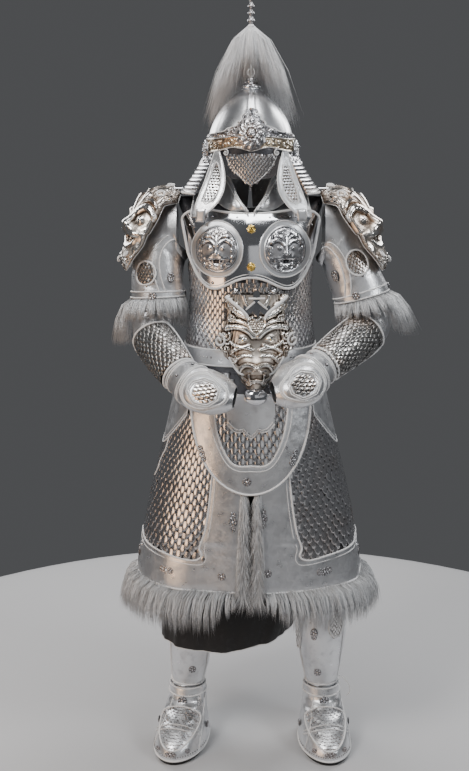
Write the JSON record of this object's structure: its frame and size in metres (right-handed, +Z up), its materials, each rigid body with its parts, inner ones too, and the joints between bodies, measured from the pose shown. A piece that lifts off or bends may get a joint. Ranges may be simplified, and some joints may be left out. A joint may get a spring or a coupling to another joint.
{
  "type": "suit of armour",
  "caption": "Silver scale armour as worn, hollow inside: plumed helmet, coat with skirts and apron, arm guards, gauntlets, greaves and boots.",
  "frame": {"origin": "midway between the wearer's shoulders, 1.50 m above the boot soles", "axes": "+Z up, -Y the way the wearer faces, +X the wearer's left"},
  "size_m": [0.8107, 0.5816, 2.062],
  "materials": {
    "silver_leather": "silver faced leather, soft sheen, piped edges",
    "polished_plate": "polished silver plate",
    "antiqued_metal": "embossed silver metal with dark recesses",
    "warm_relief": "cast relief, silver with a warm brown wash",
    "scales": "embossed silver scales on cloth",
    "gold_knob": "polished gold colour",
    "black_cloth": "matt black cloth",
    "white_hair": "white hair",
    "grey_fur": "long grey fur",
    "white_lace": "white cotton lace"
  },
  "bodies": {
    "root": {"apron_border": "silver_leather", "apron_cloud": "silver_leather", "apron_scales": "scales", "backplate": "polished_plate", "belly_blade": "polished_plate", "belly_guard": "warm_relief", "belt": "silver_leather", "boot_left": "silver_leather", "boot_right": "silver_leather", "breastplate": "polished_plate", "cheek_flap_left": "silver_leather", "cheek_flap_right": "silver_leather", "chest_disc_left": "antiqued_metal", "chest_disc_right": "antiqued_metal", "chest_knob_low": "gold_knob", "chest_knob_top": "gold_knob", "coat_back": "scales", "coat_front": "scales", "collar_left": "silver_leather", "collar_right": "silver_leather", "face_mail": "scales", "forearm_left": "black_cloth", "forearm_right": "black_cloth", "gauntlet_left": "silver_leather", "gauntlet_right": "silver_leather", "greave_left": "silver_leather", "greave_right": "silver_leather", "helmet_bowl": "polished_plate", "helmet_brow": "warm_relief", "helmet_crest": "warm_relief", "helmet_finial": "antiqued_metal", "helmet_pearl": "polished_plate", "hem_fringe_left": "grey_fur", "hem_fringe_right": "grey_fur", "hip_flap_left": "silver_leather", "hip_flap_right": "silver_leather", "hip_lace": "white_lace", "neck_guard": "antiqued_metal", "pauldron_left": "warm_relief", "pauldron_right": "warm_relief", "plume": "white_hair", "shin_lace": "white_lace", "shoulder_pin_left": "polished_plate", "shoulder_pin_right": "polished_plate", "shoulder_strap_left": "silver_leather", "shoulder_strap_right": "silver_leather", "skirt_border_left": "silver_leather", "skirt_border_right": "silver_leather", "skirt_left": "scales", "skirt_right": "scales", "sleeve_fringe_left": "grey_fur", "sleeve_fringe_right": "grey_fur", "sleeve_left": "silver_leather", "sleeve_right": "silver_leather", "under_cloth": "black_cloth", "vambrace_left": "scales", "vambrace_right": "scales"}
  },
  "joints": []
}
